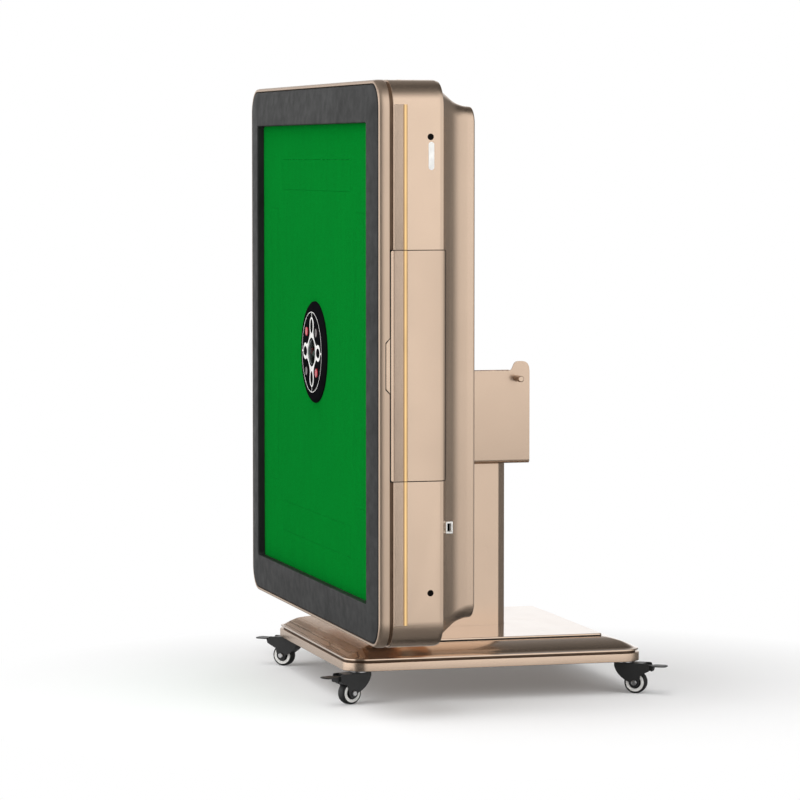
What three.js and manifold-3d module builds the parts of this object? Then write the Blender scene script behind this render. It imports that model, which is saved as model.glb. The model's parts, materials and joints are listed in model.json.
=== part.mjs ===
// Automatic mahjong table whose head folds upright on a wheeled column stand.
// Units are millimetres and +Z is up. The origin is on the floor under the middle of the base.
// -Y is the side that the playing face looks to when the head is folded upright.
// The head is drawn as it is played on, face up with z = 0 at the edge of the black frame, and
// its group then turns it upright. The stand is drawn where it stands.

import * as THREE from "three";
import * as BufferGeometryUtils from "three/addons/utils/BufferGeometryUtils.js";
import Module from "manifold-3d";

const wasm = await Module();
wasm.setup();

// ---- driving dimensions

const gap = 0.3;
const tableHalf = 480;
const tableCorner = 48;
const playHeight = 780;
const pivotY = -46.5;
const pivotZ = 555.5;
const faceY = pivotY - (playHeight - pivotZ);
const headCentreZ = pivotZ - pivotY;

const rimBottom = -20;
const rimWall = 6.7;
const frameHalf = tableHalf - rimWall - gap;
const frameBorder = 65;
const frameCrest = 4.3;
const feltLevel = -9;
const boardThick = 12;
const bandTop = rimBottom - gap;
const bandBottom = -114;
const flangeWidth = 26;
const boardHalf = tableHalf - flangeWidth - 1;
const sheet = 3.2;
const shellBottom = -181;
const shellTop = bandBottom - gap;

const stripTop = -26.2;
const stripBottom = -50;
const stripDepth = 1.2;
const stripHalf = 438;
const lockHoleOffset = 384;
const lockHoleRadius = 5.5;
const port = { x: 459, y: -276, z: -129, halfY: 10, halfZ: 6.2 };
const inlet = { x: -200, y: -330, halfX: 14, halfY: 10.5 };

const drawerHalf = 194;
const drawerTop = -21;
const drawerBottom = -117.5;
const drawerFace = 10;
const drawerGap = 1.2;
const drawerCorner = 3;
const pullBase = 49;
const pullTip = 38;
const pullHeight = 8;

const liftOffset = 318;
const liftHalfWidth = 27.5;
const liftHalfLength = 254.5;
const wellRadius = 78;
const consoleRadius = 91.5;
const consoleTop = feltLevel + 7;
const faceRadius = 73.5;
const domeRadius = 24.5;
const buttonRadius = 8;
const buttonReach = 36;
const drumRadius = 245;

const baseHalfX = 270;
const baseHalfY = 273;
const baseCorner = 38;
const trayBottom = 58;
const trayTop = 73;
const plateauInset = 60;
const plateauTop = 103;
const footTop = 81.3;
const columnHalfX = 48;
const columnHalfY = 83.5;
const columnChamfer = 16;

const yokeHalf = 65;
const yokeBottom = 399;
const yokeTop = 567;
const yokeFarTop = 561;
const yokeFront = -82;
const yokeBack = 121;
const stopY = 96.5;
const stopZ = 553;
const stopRadius = 5.75;
const pivotRadius = 8;
const cheekInner = yokeHalf + 0.6;
const cheekOuter = cheekInner + 5;

const wheelRadius = 20;
const wheelHalfWidth = 8.5;
const wheelSides = 24;
const casterTrail = 20;
const forkTop = 54.7;
const forkHalfWidth = 14;
const pedalHinge = { x: 42, z: 46.5 };
const pedalReach = 77;
const casters = [
  { name: "front_right", x: 244, y: -245, heading: -69 },
  { name: "back_right", x: 244, y: 245, heading: 57 },
  { name: "back_left", x: -244, y: 245, heading: 111 },
  { name: "front_left", x: -244, y: -245, heading: -131 },
];
const sides = [
  { name: "right", turn: 0 },
  { name: "back", turn: 90 },
  { name: "left", turn: 180 },
  { name: "front", turn: 270 },
];

// ---- materials

function paint(color, roughness, metalness) {
  return new THREE.MeshStandardMaterial({ color, roughness, metalness });
}

const champagne = paint(0xcbb29f, 0.38, 0.7);
const charcoal = paint(0x3a3a3a, 0.6, 0.0);
const felt = paint(0x067a24, 0.95, 0.0);
const gloss = paint(0x121212, 0.2, 0.0);
const blackPlastic = paint(0x1a1a1a, 0.35, 0.0);
const redPlastic = paint(0xb01420, 0.3, 0.0);
const clear = paint(0x2a2c30, 0.08, 0.0);
const steel = paint(0xa8a8aa, 0.3, 1.0);
const rubber = paint(0x101010, 0.8, 0.0);
const white = paint(0xe8e6e0, 0.45, 0.0);

const buttonPlaces = [
  { name: "red_1", x: -buttonReach, y: buttonReach, material: redPlastic },
  { name: "red_2", x: buttonReach, y: -buttonReach, material: redPlastic },
  { name: "dark_1", x: buttonReach, y: buttonReach, material: blackPlastic },
  { name: "dark_2", x: -buttonReach, y: -buttonReach, material: blackPlastic },
];

// ---- solids

function toSolid(geometry) {
  const bare = geometry.clone();
  bare.deleteAttribute("normal");
  bare.deleteAttribute("uv");
  const merged = BufferGeometryUtils.mergeVertices(bare, 1e-4);
  const vertProperties = Float32Array.from(merged.attributes.position.array);
  const triVerts = Uint32Array.from(merged.index.array);
  return new wasm.Manifold(new wasm.Mesh({ numProp: 3, vertProperties, triVerts }));
}

function toGeometry(solid) {
  const mesh = solid.getMesh();
  const geometry = new THREE.BufferGeometry();
  geometry.setAttribute("position", new THREE.BufferAttribute(mesh.vertProperties.slice(), 3));
  geometry.setIndex(new THREE.BufferAttribute(mesh.triVerts.slice(), 1));
  return geometry;
}

function cut(geometry, ...tools) {
  let solid = toSolid(geometry);
  for (const tool of tools) {
    solid = solid.subtract(toSolid(tool));
  }
  return toGeometry(solid);
}

function join(geometry, ...others) {
  let solid = toSolid(geometry);
  for (const other of others) {
    solid = solid.add(toSolid(other));
  }
  return toGeometry(solid);
}

function common(geometry, other) {
  return toGeometry(toSolid(geometry).intersect(toSolid(other)));
}

function block(x0, x1, y0, y1, z0, z1) {
  const box = new THREE.BoxGeometry(x1 - x0, y1 - y0, z1 - z0);
  return box.translate((x0 + x1) / 2, (y0 + y1) / 2, (z0 + z1) / 2);
}

function rod(radius, z0, z1, segments = 24) {
  const cylinder = new THREE.CylinderGeometry(radius, radius, z1 - z0, segments);
  return cylinder.rotateX(Math.PI / 2).translate(0, 0, (z0 + z1) / 2);
}

// A rod along X with its middle at x = 0.
function crossRod(radius, halfLength, y, z, segments = 24) {
  return rod(radius, -halfLength, halfLength, segments).rotateY(Math.PI / 2).translate(0, y, z);
}

// A turned solid about the z axis, from [radius, z] points that start and end on the axis.
function turned(profile, segments) {
  const points = profile.map(([radius, z]) => new THREE.Vector2(radius, z));
  return new THREE.LatheGeometry(points, segments).rotateX(Math.PI / 2);
}

function prism(shape, z0, z1, curveSegments = 6) {
  const solid = new THREE.ExtrudeGeometry(shape, { depth: z1 - z0, bevelEnabled: false, curveSegments });
  return solid.translate(0, 0, z0);
}

// A shape drawn in (y, z) and pushed along X from x0 to x1.
function sidePrism(shape, x0, x1, curveSegments = 6) {
  const solid = prism(shape, x0, x1, curveSegments);
  return solid.rotateX(Math.PI / 2).rotateZ(Math.PI / 2);
}

function polygon(points) {
  return new THREE.Shape(points.map(([x, y]) => new THREE.Vector2(x, y)));
}

function roundedRectangle(halfX, halfY, radius) {
  const shape = new THREE.Shape();
  shape.absarc(halfX - radius, halfY - radius, radius, 0, Math.PI / 2);
  shape.absarc(radius - halfX, halfY - radius, radius, Math.PI / 2, Math.PI);
  shape.absarc(radius - halfX, radius - halfY, radius, Math.PI, 1.5 * Math.PI);
  shape.absarc(halfX - radius, radius - halfY, radius, 1.5 * Math.PI, 2 * Math.PI);
  return shape;
}

// One rounded-rectangle loop of points at height z.
function roundedLoop(halfX, halfY, radius, z, cornerSteps) {
  const loop = [];
  for (let corner = 0; corner < 4; corner += 1) {
    const signX = corner === 0 || corner === 3 ? 1 : -1;
    const signY = corner < 2 ? 1 : -1;
    for (let step = 0; step <= cornerSteps; step += 1) {
      const angle = (corner + step / cornerSteps) * (Math.PI / 2);
      const x = signX * (halfX - radius) + radius * Math.cos(angle);
      const y = signY * (halfY - radius) + radius * Math.sin(angle);
      loop.push([x, y, z]);
    }
  }
  return loop;
}

// Turns every triangle over when the surface encloses a negative volume.
function facingOut(geometry) {
  const position = geometry.attributes.position;
  const index = Array.from(geometry.index.array);
  const corners = [new THREE.Vector3(), new THREE.Vector3(), new THREE.Vector3()];
  let volume = 0;
  for (let i = 0; i < index.length; i += 3) {
    corners.forEach((corner, k) => corner.fromBufferAttribute(position, index[i + k]));
    volume += corners[0].dot(corners[1].clone().cross(corners[2]));
  }
  if (volume < 0) {
    index.reverse();
    geometry.setIndex(index);
  }
  return geometry;
}

// Sweeps a profile of [inset, z] points round a rounded rectangle. A ring's profile closes on
// itself. A dish's profile starts and ends with a flat cap across the middle.
function swept(profile, outline, kind) {
  const { halfX, halfY, corner, least = 6, steps = 5 } = outline;
  const loops = profile.map(([inset, z]) => {
    const radius = Math.max(corner - inset, least);
    return roundedLoop(halfX - inset, halfY - inset, radius, z, steps);
  });
  const count = loops[0].length;
  const index = [];
  const rows = kind === "ring" ? loops.length : loops.length - 1;
  for (let row = 0; row < rows; row += 1) {
    const next = (row + 1) % loops.length;
    for (let i = 0; i < count; i += 1) {
      const j = (i + 1) % count;
      index.push(row * count + i, next * count + i, next * count + j);
      index.push(row * count + i, next * count + j, row * count + j);
    }
  }
  if (kind === "dish") {
    const last = (loops.length - 1) * count;
    for (let i = 1; i < count - 1; i += 1) {
      index.push(0, i, i + 1);
      index.push(last, last + i + 1, last + i);
    }
  }
  const geometry = new THREE.BufferGeometry();
  geometry.setAttribute("position", new THREE.BufferAttribute(new Float32Array(loops.flat(2)), 3));
  geometry.setIndex(index);
  return facingOut(geometry);
}

function curvePoints(from, control, to, steps) {
  const curve = new THREE.QuadraticBezierCurve(
    new THREE.Vector2(...from), new THREE.Vector2(...control), new THREE.Vector2(...to));
  return curve.getPoints(steps).map((point) => [point.x, point.y]);
}

function onSide(geometry, side) {
  return geometry.rotateZ(THREE.MathUtils.degToRad(side.turn));
}

function add(group, name, geometry, material) {
  const mesh = new THREE.Mesh(geometry, material);
  mesh.name = name;
  group.add(mesh);
  return mesh;
}

// ---- head: frame, board and casing

const tableOutline = { halfX: tableHalf, halfY: tableHalf, corner: tableCorner };

function topFrame() {
  const outline = { halfX: frameHalf, halfY: frameHalf, corner: tableCorner - rimWall };
  const seat = feltLevel + gap;
  return swept([
    [0, rimBottom], [16, rimBottom], [16, seat], [frameBorder, seat], [frameBorder, frameCrest - 3],
    [frameBorder - 3, frameCrest], [4, 0.4], [1, -0.8], [0, -4],
  ], outline, "ring");
}

// The pull recess is a trapezoid, wide at the drawer and narrow towards the playing face.
function pullOutline(clearance) {
  const low = drawerTop - 1;
  const high = drawerTop + pullHeight + clearance;
  return polygon([
    [-pullBase - clearance, low], [pullBase + clearance, low],
    [pullTip + clearance, high], [-pullTip - clearance, high],
  ]);
}

function rim() {
  const ring = swept([
    [rimWall, rimBottom], [0, rimBottom], [0, -9], [0.8, -4.5], [3, -1.6], [rimWall - 1, -1],
    [rimWall, -2.4],
  ], tableOutline, "ring");
  const notch = sidePrism(pullOutline(1.5), tableHalf - rimWall - 1, tableHalf + 1);
  return cut(ring, ...sides.map((side) => onSide(notch.clone(), side)));
}

function feltBoard() {
  const board = roundedRectangle(boardHalf, boardHalf, 30);
  const well = new THREE.Path();
  well.absarc(0, 0, wellRadius, 0, 2 * Math.PI, true);
  board.holes.push(well);
  const plate = prism(board, feltLevel - boardThick, feltLevel, 8);
  const slot = block(
    liftOffset - liftHalfWidth - gap, liftOffset + liftHalfWidth + gap,
    -liftHalfLength - gap, liftHalfLength + gap,
    feltLevel - boardThick - 1, feltLevel + 1);
  return cut(plate, ...sides.map((side) => onSide(slot.clone(), side)));
}

// The shallow recess along a side that holds the patterned strip and the light strip.
function stripRecess(halfLength) {
  return block(tableHalf - stripDepth, tableHalf + 1, -halfLength, halfLength, stripBottom, stripTop);
}

function sideBand() {
  const low = bandBottom;
  const ring = swept([
    [4, bandTop], [4, -25], [0, -25.6], [0, low + 7.5], [2.1, low + 0.8], [3.4, low], [flangeWidth, low],
    [flangeWidth, low + sheet], [7, low + sheet], [sheet, low + 9], [sheet, -29], [4 + sheet, -28],
    [4 + sheet, bandTop - sheet], [flangeWidth, bandTop - sheet], [flangeWidth, bandTop],
  ], tableOutline, "ring");
  const windowHalf = drawerHalf + drawerGap;
  const tools = [
    block(tableHalf - drawerFace - 0.6, tableHalf + 1, -windowHalf, windowHalf, low - 1, bandTop + 1),
    stripRecess(stripHalf),
  ];
  for (const y of [-lockHoleOffset, lockHoleOffset]) {
    const hole = rod(lockHoleRadius, tableHalf - 5, tableHalf + 1, 12).rotateY(Math.PI / 2);
    tools.push(hole.translate(0, y, -90));
  }
  return cut(ring, ...sides.flatMap((side) => tools.map((tool) => onSide(tool.clone(), side))));
}

// The flare of the back casing, as [inset, z] points: a bend at its foot, then a straight slope
// up to the band.
function flare(inward) {
  const curve = [...curvePoints([43.5, -168], [40, -149], [30, -136], 6), [13, shellTop]];
  return curve.map(([inset, z]) => [inset + inward, z]);
}

function backShell() {
  const outline = { ...tableOutline, corner: 52, least: 26 };
  const inside = flare(sheet).reverse();
  const casing = swept([
    [70, shellBottom], [49, shellBottom], [45.4, shellBottom + 1.5], [44.2, shellBottom + 5],
    ...flare(0), ...inside, [47.3, shellBottom + 5.6], [50, shellBottom + sheet],
    [72, shellBottom + sheet],
  ], outline, "dish");
  const portHole = block(
    port.x - 15, port.x + 30, port.y - port.halfY - gap, port.y + port.halfY + gap,
    port.z - port.halfZ - gap, port.z + port.halfZ + gap);
  const inletHole = block(
    inlet.x - inlet.halfX - gap, inlet.x + inlet.halfX + gap,
    inlet.y - inlet.halfY - gap, inlet.y + inlet.halfY + gap,
    shellBottom - 1, shellBottom + 6);
  return cut(casing, portHole, inletHole);
}

function servicePort() {
  const body = block(
    port.x - 12.5, port.x, port.y - port.halfY, port.y + port.halfY,
    port.z - port.halfZ, port.z + port.halfZ);
  const socket = block(port.x - 13, port.x + 1, port.y - 7, port.y + 7, port.z - 3.4, port.z + 3.4);
  return cut(body, socket);
}

function powerInlet() {
  const { x, y, halfX, halfY } = inlet;
  const flange = block(x - 25, x + 25, y - 14, y + 14, shellBottom - 2.3, shellBottom - gap);
  const body = block(x - halfX, x + halfX, y - halfY, y + halfY, shellBottom - 1, shellBottom + 17);
  const socket = block(x - 12, x + 12, y - 8.5, y + 8.5, shellBottom - 3, shellBottom + 14);
  return cut(join(flange, body), socket);
}

// The steel frame on the head's back: a plate with two cheeks that turn on the pivot pin and
// come down on the stop bar.
function tiltFrame() {
  const plateTop = shellBottom - gap;
  const pivotDepth = pivotZ - playHeight;
  const stopDepth = stopZ - playHeight;
  const outline = new THREE.Shape();
  outline.moveTo(-78, plateTop - 1);
  outline.lineTo(pivotY - 15, pivotDepth);
  outline.absarc(pivotY, pivotDepth, 15, Math.PI, 1.5 * Math.PI);
  outline.lineTo(stopY - stopRadius - 0.5, stopDepth - 7);
  outline.lineTo(stopY - stopRadius - 0.5, stopDepth);
  outline.absarc(stopY, stopDepth, stopRadius + 0.5, Math.PI, 0, true);
  outline.lineTo(stopY + stopRadius + 0.5, stopDepth - 7);
  outline.lineTo(stopY + 14, stopDepth - 7);
  outline.lineTo(stopY + 26, plateTop - 1);
  const plate = block(-110, 110, -85, 128, plateTop - sheet, plateTop);
  const pivotHole = crossRod(pivotRadius + gap, cheekOuter + 1, pivotY, pivotDepth);
  const cheeks = [
    sidePrism(outline, cheekInner, cheekOuter),
    sidePrism(outline, -cheekOuter, -cheekInner),
  ];
  return cut(join(plate, ...cheeks), pivotHole);
}

// ---- head: drawers, lifts and shuffling gear

// The drawer front's lower edge turns in as the band's edge and the flare beside it do.
function drawerUndercut() {
  const outside = tableHalf + 1;
  const section = polygon([
    [outside, bandBottom + 7.5], [tableHalf, bandBottom + 7.5], [tableHalf - 2.1, bandBottom + 0.8],
    [tableHalf - 5.6, drawerBottom - 0.1], [outside, drawerBottom - 0.1],
  ]);
  return prism(section, -drawerHalf - 1, drawerHalf + 1).rotateX(Math.PI / 2);
}

function drawer() {
  const outline = roundedRectangle(drawerHalf, (drawerTop - drawerBottom) / 2, drawerCorner);
  const panel = sidePrism(outline, tableHalf - drawerFace, tableHalf, 3);
  panel.translate(0, 0, (drawerTop + drawerBottom) / 2);
  const pull = sidePrism(pullOutline(0), tableHalf - 5.5, tableHalf - 1.5);
  const tray = block(400, tableHalf - drawerFace + 0.5, -170, 170, -98, -45);
  const inside = block(402.5, tableHalf - drawerFace - 2, -167.5, 167.5, -95.5, -44);
  return cut(join(panel, pull, tray), inside, stripRecess(drawerHalf + 1), drawerUndercut());
}

function tileLift() {
  const low = feltLevel - boardThick;
  const platform = block(
    liftOffset - liftHalfWidth, liftOffset + liftHalfWidth, -liftHalfLength, liftHalfLength, low, feltLevel);
  const rail = block(liftOffset - 4, liftOffset + 4, -40, 40, low - 11, low + 1);
  return join(platform, rail);
}

function tileChute() {
  const channel = block(liftOffset - 30, liftOffset + 30, -240, 240, -95, -78);
  const inside = block(liftOffset - 27.5, liftOffset + 27.5, -241, 241, -92.5, -77);
  return cut(channel, inside);
}

function shuffleDrum() {
  return turned([
    [0, -128], [drumRadius - 4, -128], [drumRadius, -124], [drumRadius, -105], [drumRadius - 6, -105],
    [drumRadius - 14, -120], [62, -120], [48, -104], [0, -104],
  ], 28);
}

// ---- head: centre console

// Round pockets for the buttons, wider than the buttons by the clearance.
function buttonPockets(clearance, floor) {
  return buttonPlaces.map(({ x, y }) => rod(buttonRadius + clearance, floor, 0, 12).translate(x, y, 0));
}

function consoleBody() {
  const rest = feltLevel + gap;
  const disc = turned([
    [0, -95], [25, -95], [25, -14], [wellRadius - 4, -14], [wellRadius - 2, -12], [wellRadius - 2, rest],
    [consoleRadius, rest], [consoleRadius, rest + 1.8], [consoleRadius - 6, consoleTop - 0.5],
    [faceRadius + 1, consoleTop], [faceRadius + 0.5, -4.4], [0, -4.4],
  ], 36);
  const dicePocket = rod(domeRadius - 2.5, -12, 0, 20);
  return cut(disc, dicePocket, ...buttonPockets(0.6, -9.2));
}

function consoleFace() {
  const plate = rod(faceRadius, -4.1, consoleTop + 0.1, 36);
  const domeHole = rod(domeRadius + 0.4, -5, 0, 20);
  return cut(plate, domeHole, ...buttonPockets(0.4, -5));
}

function diceDome() {
  const inner = curvePoints([0, 1.5], [domeRadius * 0.8, 1.5], [domeRadius - 1.6, -4.1], 3);
  const outer = curvePoints([domeRadius, -4.1], [domeRadius * 0.85, 3], [0, 3], 4);
  return turned([...inner, ...outer], 20);
}

function button() {
  const top = -0.2;
  return turned([
    [0, top - 6.3], [buttonRadius, top - 6.3], [buttonRadius, top - 1], [buttonRadius - 1.2, top], [0, top],
  ], 12);
}

// ---- stand

const baseOutline = { halfX: baseHalfX, halfY: baseHalfY, corner: baseCorner };

function baseTray() {
  const tray = swept([
    [1.5, trayTop], [0, trayTop - 1.5], [0, trayBottom], [3, trayBottom], [3, trayTop - 3],
  ], baseOutline, "dish");
  const pads = casters.map(({ x, y }) => rod(22, trayBottom + 0.5, trayTop - 2, 16).translate(x, y, 0));
  return join(tray, ...pads);
}

function chamferedRectangle(halfX, halfY, chamfer) {
  return polygon([
    [halfX, halfY - chamfer], [halfX - chamfer, halfY], [chamfer - halfX, halfY], [-halfX, halfY - chamfer],
    [-halfX, chamfer - halfY], [chamfer - halfX, -halfY], [halfX - chamfer, -halfY], [halfX, chamfer - halfY],
  ]);
}

function baseCover() {
  const slope = curvePoints([plateauInset - 1, 98.5], [34, 91], [8, 80.8], 5);
  const cover = swept([
    [plateauInset + 1, plateauTop], [plateauInset, plateauTop - 1], [plateauInset, 99.5], ...slope,
    [3, 80], [1.5, 79], [1.5, 77.2], [8, 77.2], [8, trayTop + gap], [10.5, trayTop + gap], [10.5, 78],
    [plateauInset + 1.5, 95.5], [plateauInset + 2.5, plateauTop - 2.7],
  ], baseOutline, "dish");
  const clearance = 0.6;
  const hole = chamferedRectangle(columnHalfX + clearance, columnHalfY + clearance, columnChamfer);
  return cut(cover, prism(hole, 90, 110));
}

function column() {
  const outline = chamferedRectangle(columnHalfX, columnHalfY, columnChamfer);
  outline.holes.push(chamferedRectangle(columnHalfX - 3, columnHalfY - 3, columnChamfer - 1.2));
  return prism(outline, footTop + gap, yokeBottom - gap);
}

// The column's top bracket: a folded tray. Only its right wall has a raised ear at the back.
function yoke() {
  const side = new THREE.Shape();
  side.moveTo(yokeFront, yokeBottom);
  side.lineTo(yokeBack, yokeBottom);
  side.lineTo(yokeBack, yokeTop - 1);
  side.quadraticCurveTo(yokeBack, yokeTop + 17, yokeBack - 14, yokeTop + 17);
  side.lineTo(yokeBack - 22, yokeTop + 17);
  side.quadraticCurveTo(yokeBack - 29, yokeTop + 17, yokeBack - 32, yokeTop + 7);
  side.quadraticCurveTo(yokeBack - 34, yokeTop, yokeBack - 40, yokeTop);
  side.lineTo(yokeFront + 8, yokeTop);
  side.quadraticCurveTo(yokeFront, yokeTop, yokeFront, yokeTop - 8);
  const folded = new THREE.Shape();
  const bend = 7;
  folded.moveTo(-yokeHalf, 600);
  folded.lineTo(-yokeHalf, yokeBottom + bend);
  folded.absarc(bend - yokeHalf, yokeBottom + bend, bend, Math.PI, 1.5 * Math.PI);
  folded.absarc(yokeHalf - bend, yokeBottom + bend, bend, 1.5 * Math.PI, 2 * Math.PI);
  folded.lineTo(yokeHalf, 600);
  const along = prism(folded, -yokeBack - 1, 1 - yokeFront, 4).rotateX(Math.PI / 2);
  const body = common(sidePrism(side, -yokeHalf - 1, yokeHalf + 1, 4), along);
  const wall = yokeHalf - sheet;
  return cut(
    body,
    block(-wall, wall, yokeFront - 1, yokeBack - sheet, yokeBottom + sheet, 600),
    block(-yokeHalf - 1, wall, yokeFront - 1, yokeBack + 1, yokeFarTop, 600),
    crossRod(pivotRadius + gap, yokeHalf + 1, pivotY, pivotZ),
    crossRod(stopRadius + gap, yokeHalf + 1, stopY, stopZ));
}

function pivotPin() {
  const end = cheekOuter + 4;
  const pin = turned([
    [0, -end], [11, -end], [12, 1 - end], [12, 3.4 - end], [pivotRadius, 3.4 - end],
    [pivotRadius, end - 3.4], [12, end - 3.4], [12, end - 1], [11, end], [0, end],
  ], 18);
  return pin.rotateY(Math.PI / 2).translate(0, pivotY, pivotZ);
}

function stopBar() {
  const end = yokeHalf + 28;
  const bar = turned([
    [0, -end], [stopRadius - 1.2, -end], [stopRadius, 1.2 - end], [stopRadius, end - 1.2],
    [stopRadius - 1.2, end], [0, end],
  ], 16);
  return bar.rotateY(Math.PI / 2).translate(0, stopY, stopZ);
}

// ---- casters, drawn round their own stem with the wheel trailing along +X

// A rod along Y with its axis at (x, z).
function pinAt(radius, halfLength, x, z, segments) {
  return rod(radius, -halfLength, halfLength, segments).rotateX(Math.PI / 2).translate(x, 0, z);
}

function fork() {
  const side = new THREE.Shape();
  const legRadius = 8.5;
  side.moveTo(-17, forkTop);
  side.lineTo(-17, 49);
  side.quadraticCurveTo(-12, 30, casterTrail - legRadius, wheelRadius);
  side.absarc(casterTrail, wheelRadius, legRadius, Math.PI, 2 * Math.PI);
  side.lineTo(31, 33);
  side.lineTo(46.5, 41);
  side.lineTo(46.5, 51);
  side.quadraticCurveTo(46.5, forkTop, 42, forkTop);
  const body = alongY(side, forkHalfWidth);
  const wheelRoom = pinAt(wheelRadius + 2.3, 10, casterTrail, wheelRadius, 20);
  const axleHole = pinAt(3.3, forkHalfWidth + 1, casterTrail, wheelRadius, 10);
  const pedalRoom = block(36.5, 50, -10.8, 10.8, 30, 60);
  const pinHole = pinAt(2.5, 12.5, pedalHinge.x, pedalHinge.z, 8);
  return cut(body, wheelRoom, axleHole, pedalRoom, pinHole);
}

// A shape drawn in (x, z) and pushed along Y to both sides of y = 0.
function alongY(shape, halfWidth) {
  return prism(shape, -halfWidth, halfWidth, 5).rotateX(Math.PI / 2);
}

function wheel() {
  const outer = wheelRadius / Math.cos(Math.PI / wheelSides);
  const half = wheelHalfWidth;
  const boreRadius = 3.5;
  const profile = [
    [boreRadius, -half], [outer - 2.5, -half], [outer, 3 - half], [outer, half - 3],
    [outer - 2.5, half], [boreRadius, half], [boreRadius, -half],
  ];
  // Half a facet of turn sets one flat of the tread on the floor.
  const tyre = turned(profile, wheelSides).rotateZ(Math.PI / wheelSides).rotateX(Math.PI / 2);
  return tyre.translate(casterTrail, 0, wheelRadius);
}

function axle() {
  const end = forkHalfWidth + 3;
  const bolt = turned([
    [0, -end], [4, -end], [5, 1 - end], [5, 2.6 - end], [3, 2.6 - end],
    [3, end - 2.6], [5, end - 2.6], [5, end - 1], [4, end], [0, end],
  ], 10);
  return bolt.rotateX(Math.PI / 2).translate(casterTrail, 0, wheelRadius);
}

function pedal() {
  const { x, z } = pedalHinge;
  const barrel = pinAt(4.6, 10.3, x, z, 10);
  const trunnion = pinAt(2, 12, x, z, 8);
  const lugSide = [[x, z + 4.4], [x, z - 1], [x + 9, z - 6], [x + 11, z + 1], [x + 12, z + 4.4]];
  const lug = alongY(polygon(lugSide), 9);
  const blade = new THREE.Shape();
  blade.moveTo(x, -9);
  blade.lineTo(x + 8, -9);
  blade.lineTo(x + 11, -13);
  blade.lineTo(pedalReach - 8, -13);
  blade.quadraticCurveTo(pedalReach, -13, pedalReach, 0);
  blade.quadraticCurveTo(pedalReach, 13, pedalReach - 8, 13);
  blade.lineTo(x + 11, 13);
  blade.lineTo(x + 8, 9);
  blade.lineTo(x, 9);
  return join(barrel, trunnion, lug, prism(blade, z + 2.4, z + 4.4, 4));
}

// ---- assembly

const group = new THREE.Group();

const head = new THREE.Group();
head.rotation.x = Math.PI / 2;
head.position.set(0, faceY, headCentreZ);
group.add(head);

add(head, "top_frame", topFrame(), charcoal);
add(head, "felt_board", feltBoard(), felt);
add(head, "rim", rim(), champagne);
add(head, "side_band", sideBand(), champagne);
add(head, "back_shell", backShell(), champagne);
add(head, "tilt_frame", tiltFrame(), champagne);
add(head, "service_port", servicePort(), white);
add(head, "power_inlet", powerInlet(), blackPlastic);
add(head, "shuffle_drum", shuffleDrum(), white);
add(head, "drum_motor", rod(40, shellBottom + 3.8, -129, 24), steel);
add(head, "control_box", block(-400, -310, -400, -310, -150, -112), blackPlastic);
for (const side of sides) {
  add(head, `drawer_${side.name}`, onSide(drawer(), side), champagne);
  add(head, `tile_lift_${side.name}`, onSide(tileLift(), side), felt);
  add(head, `tile_chute_${side.name}`, onSide(tileChute(), side), steel);
}

add(head, "console_body", consoleBody(), gloss);
add(head, "console_face", consoleFace(), white);
add(head, "dice_dome", diceDome(), clear);
for (const { name, x, y, material } of buttonPlaces) {
  add(head, `button_${name}`, button().translate(x, y, 0), material);
}

add(group, "base_tray", baseTray(), champagne);
add(group, "base_cover", baseCover(), champagne);
add(group, "column_foot", block(-70, 70, -105, 105, trayTop + gap, footTop), steel);
add(group, "column", column(), champagne);
add(group, "yoke", yoke(), champagne);
add(group, "pivot_pin", pivotPin(), steel);
add(group, "stop_bar", stopBar(), champagne);
const shellBack = faceY - shellBottom;
add(group, "rest_pad", block(-30, 30, shellBack + gap, -columnHalfY - gap, 215, 255), rubber);

for (const { name, x, y, heading } of casters) {
  const caster = new THREE.Group();
  caster.position.set(x, y, 0);
  caster.rotation.z = THREE.MathUtils.degToRad(heading);
  group.add(caster);
  add(caster, `caster_stem_${name}`, rod(16, forkTop + gap, trayBottom + 0.2, 20), steel);
  add(caster, `caster_fork_${name}`, fork(), blackPlastic);
  add(caster, `caster_wheel_${name}`, wheel(), rubber);
  add(caster, `caster_axle_${name}`, axle(), steel);
  add(caster, `brake_pedal_${name}`, pedal(), blackPlastic);
}

export default group;
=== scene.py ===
"""Automatic mahjong table, folded upright on its wheeled column: the finished look.

The CAD frame gives every place and size. Lengths in this script are millimetres until
build() turns them into metres. The head is drawn as it is played on, face up, and
HEAD then turns it upright. The stand is drawn where it stands.
"""
import json
from math import atan2, cos, pi, radians, sin

import bmesh
import bpy
from mathutils import Matrix, Vector


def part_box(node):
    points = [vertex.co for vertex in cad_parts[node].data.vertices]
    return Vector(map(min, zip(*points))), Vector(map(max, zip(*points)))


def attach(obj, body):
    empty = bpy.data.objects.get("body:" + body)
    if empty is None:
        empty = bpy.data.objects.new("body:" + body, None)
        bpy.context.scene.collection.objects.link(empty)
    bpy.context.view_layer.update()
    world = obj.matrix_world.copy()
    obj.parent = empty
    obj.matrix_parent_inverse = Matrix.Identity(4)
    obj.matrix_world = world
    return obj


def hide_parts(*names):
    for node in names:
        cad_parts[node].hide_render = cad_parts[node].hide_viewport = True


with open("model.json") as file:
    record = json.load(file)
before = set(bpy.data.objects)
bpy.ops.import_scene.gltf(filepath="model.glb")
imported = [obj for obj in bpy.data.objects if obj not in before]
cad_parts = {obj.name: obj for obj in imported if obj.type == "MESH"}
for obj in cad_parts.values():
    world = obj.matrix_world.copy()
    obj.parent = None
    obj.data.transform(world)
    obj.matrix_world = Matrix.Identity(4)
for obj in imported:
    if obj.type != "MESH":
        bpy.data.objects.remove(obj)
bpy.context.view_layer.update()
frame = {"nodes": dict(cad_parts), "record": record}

MM = 0.001
SIDES = {"right": 0, "back": 90, "left": 180, "front": 270}
CASTERS = ("front_right", "back_right", "back_left", "front_left")

# ---- sizes shared with the CAD frame


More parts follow.
